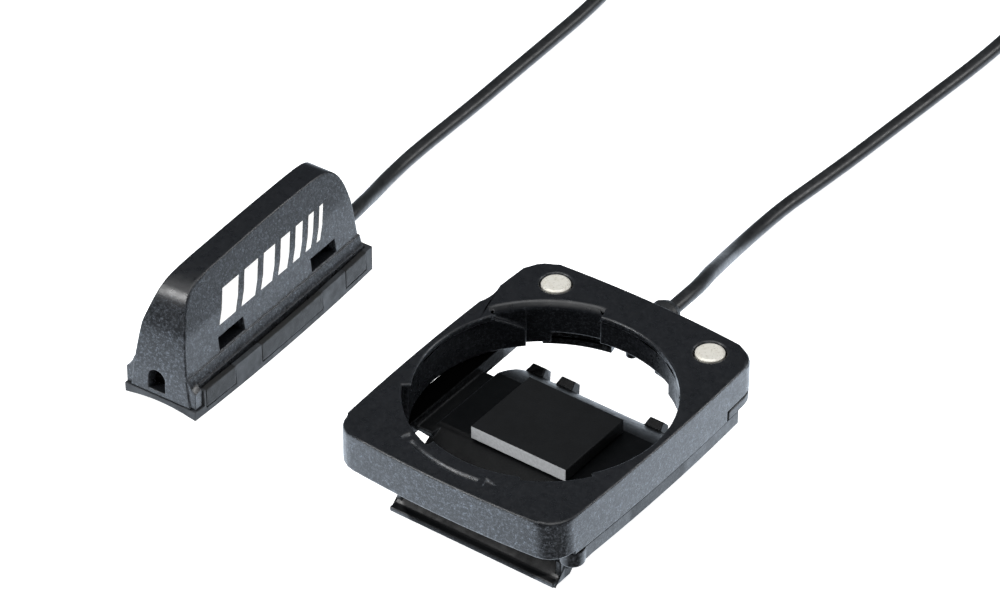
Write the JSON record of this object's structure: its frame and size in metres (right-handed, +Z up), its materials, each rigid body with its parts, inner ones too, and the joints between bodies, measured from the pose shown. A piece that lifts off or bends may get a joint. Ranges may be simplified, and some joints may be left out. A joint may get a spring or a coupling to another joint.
{
  "type": "cycling computer bracket and wired speed sensor",
  "caption": "Handlebar bracket with a bayonet socket and sprung contacts, wired by a thin cable to a slim fork-mounted speed sensor.",
  "frame": {"origin": "centre of the base of the box around the bracket and the sensor as they lie on a table, the free cable not counted", "axes": "+Z up out of the bracket's socket, +Y the way both cable ends leave, +X from the sensor to the bracket, which is also the way the handlebar runs"},
  "size_m": [0.0836, 0.1805, 0.0191],
  "materials": {
    "moulded_black": "moulded black plastic with a fine sparkle texture",
    "moulded_black_lower": "moulded black plastic, finely textured",
    "black_rubber": "matt black rubber",
    "nickel": "pale nickel plate, lightly worn",
    "tinned_brass": "tinned",
    "reed_glass": "clear pale green glass",
    "carrier_board": "green board",
    "cable_sheath": "satin black sheath",
    "coil_strap": "black fabric strap",
    "wire_white": "white wire insulation",
    "wire_red": "red wire insulation"
  },
  "bodies": {
    "dock_kit": {"bracket_frame": "moulded_black", "rear_cover": "moulded_black_lower", "handlebar_saddle": "moulded_black_lower", "saddle_liner": "black_rubber", "centre_pad": "black_rubber", "contact_seal_left": "black_rubber", "contact_seal_right": "black_rubber", "contact_spring_left": "tinned_brass", "contact_spring_right": "tinned_brass", "contact_terminal_left": "tinned_brass", "contact_terminal_right": "tinned_brass", "bracket_wire_left": "wire_white", "bracket_wire_right": "wire_red", "bracket_gland": "black_rubber", "cable_bracket_run": "cable_sheath", "cable_coil": "cable_sheath", "cable_sensor_run": "cable_sheath", "coil_tie": "coil_strap", "sensor_housing": "moulded_black", "sensor_foot_plate": "moulded_black_lower", "sensor_pad": "black_rubber", "sensor_gland": "black_rubber", "reed_glass": "reed_glass", "reed_blade_near": "tinned_brass", "reed_blade_far": "tinned_brass", "reed_carrier": "carrier_board", "sensor_wire_left": "wire_white", "sensor_wire_right": "wire_red"},
    "left_contact": {"contact_button_left": "nickel"},
    "right_contact": {"contact_button_right": "nickel"}
  },
  "joints": [
    {"name": "left_contact_press", "type": "slide", "parent": "dock_kit", "child": "left_contact", "axis": [0, 0, -1], "range_m": [0, 0.0006], "stiffness_N_per_m": 400, "springref_m": -0.0008, "deforming": ["contact_spring_left"]},
    {"name": "right_contact_press", "type": "slide", "parent": "dock_kit", "child": "right_contact", "axis": [0, 0, -1], "range_m": [0, 0.0006], "stiffness_N_per_m": 400, "springref_m": -0.0008, "deforming": ["contact_spring_right"]}
  ]
}
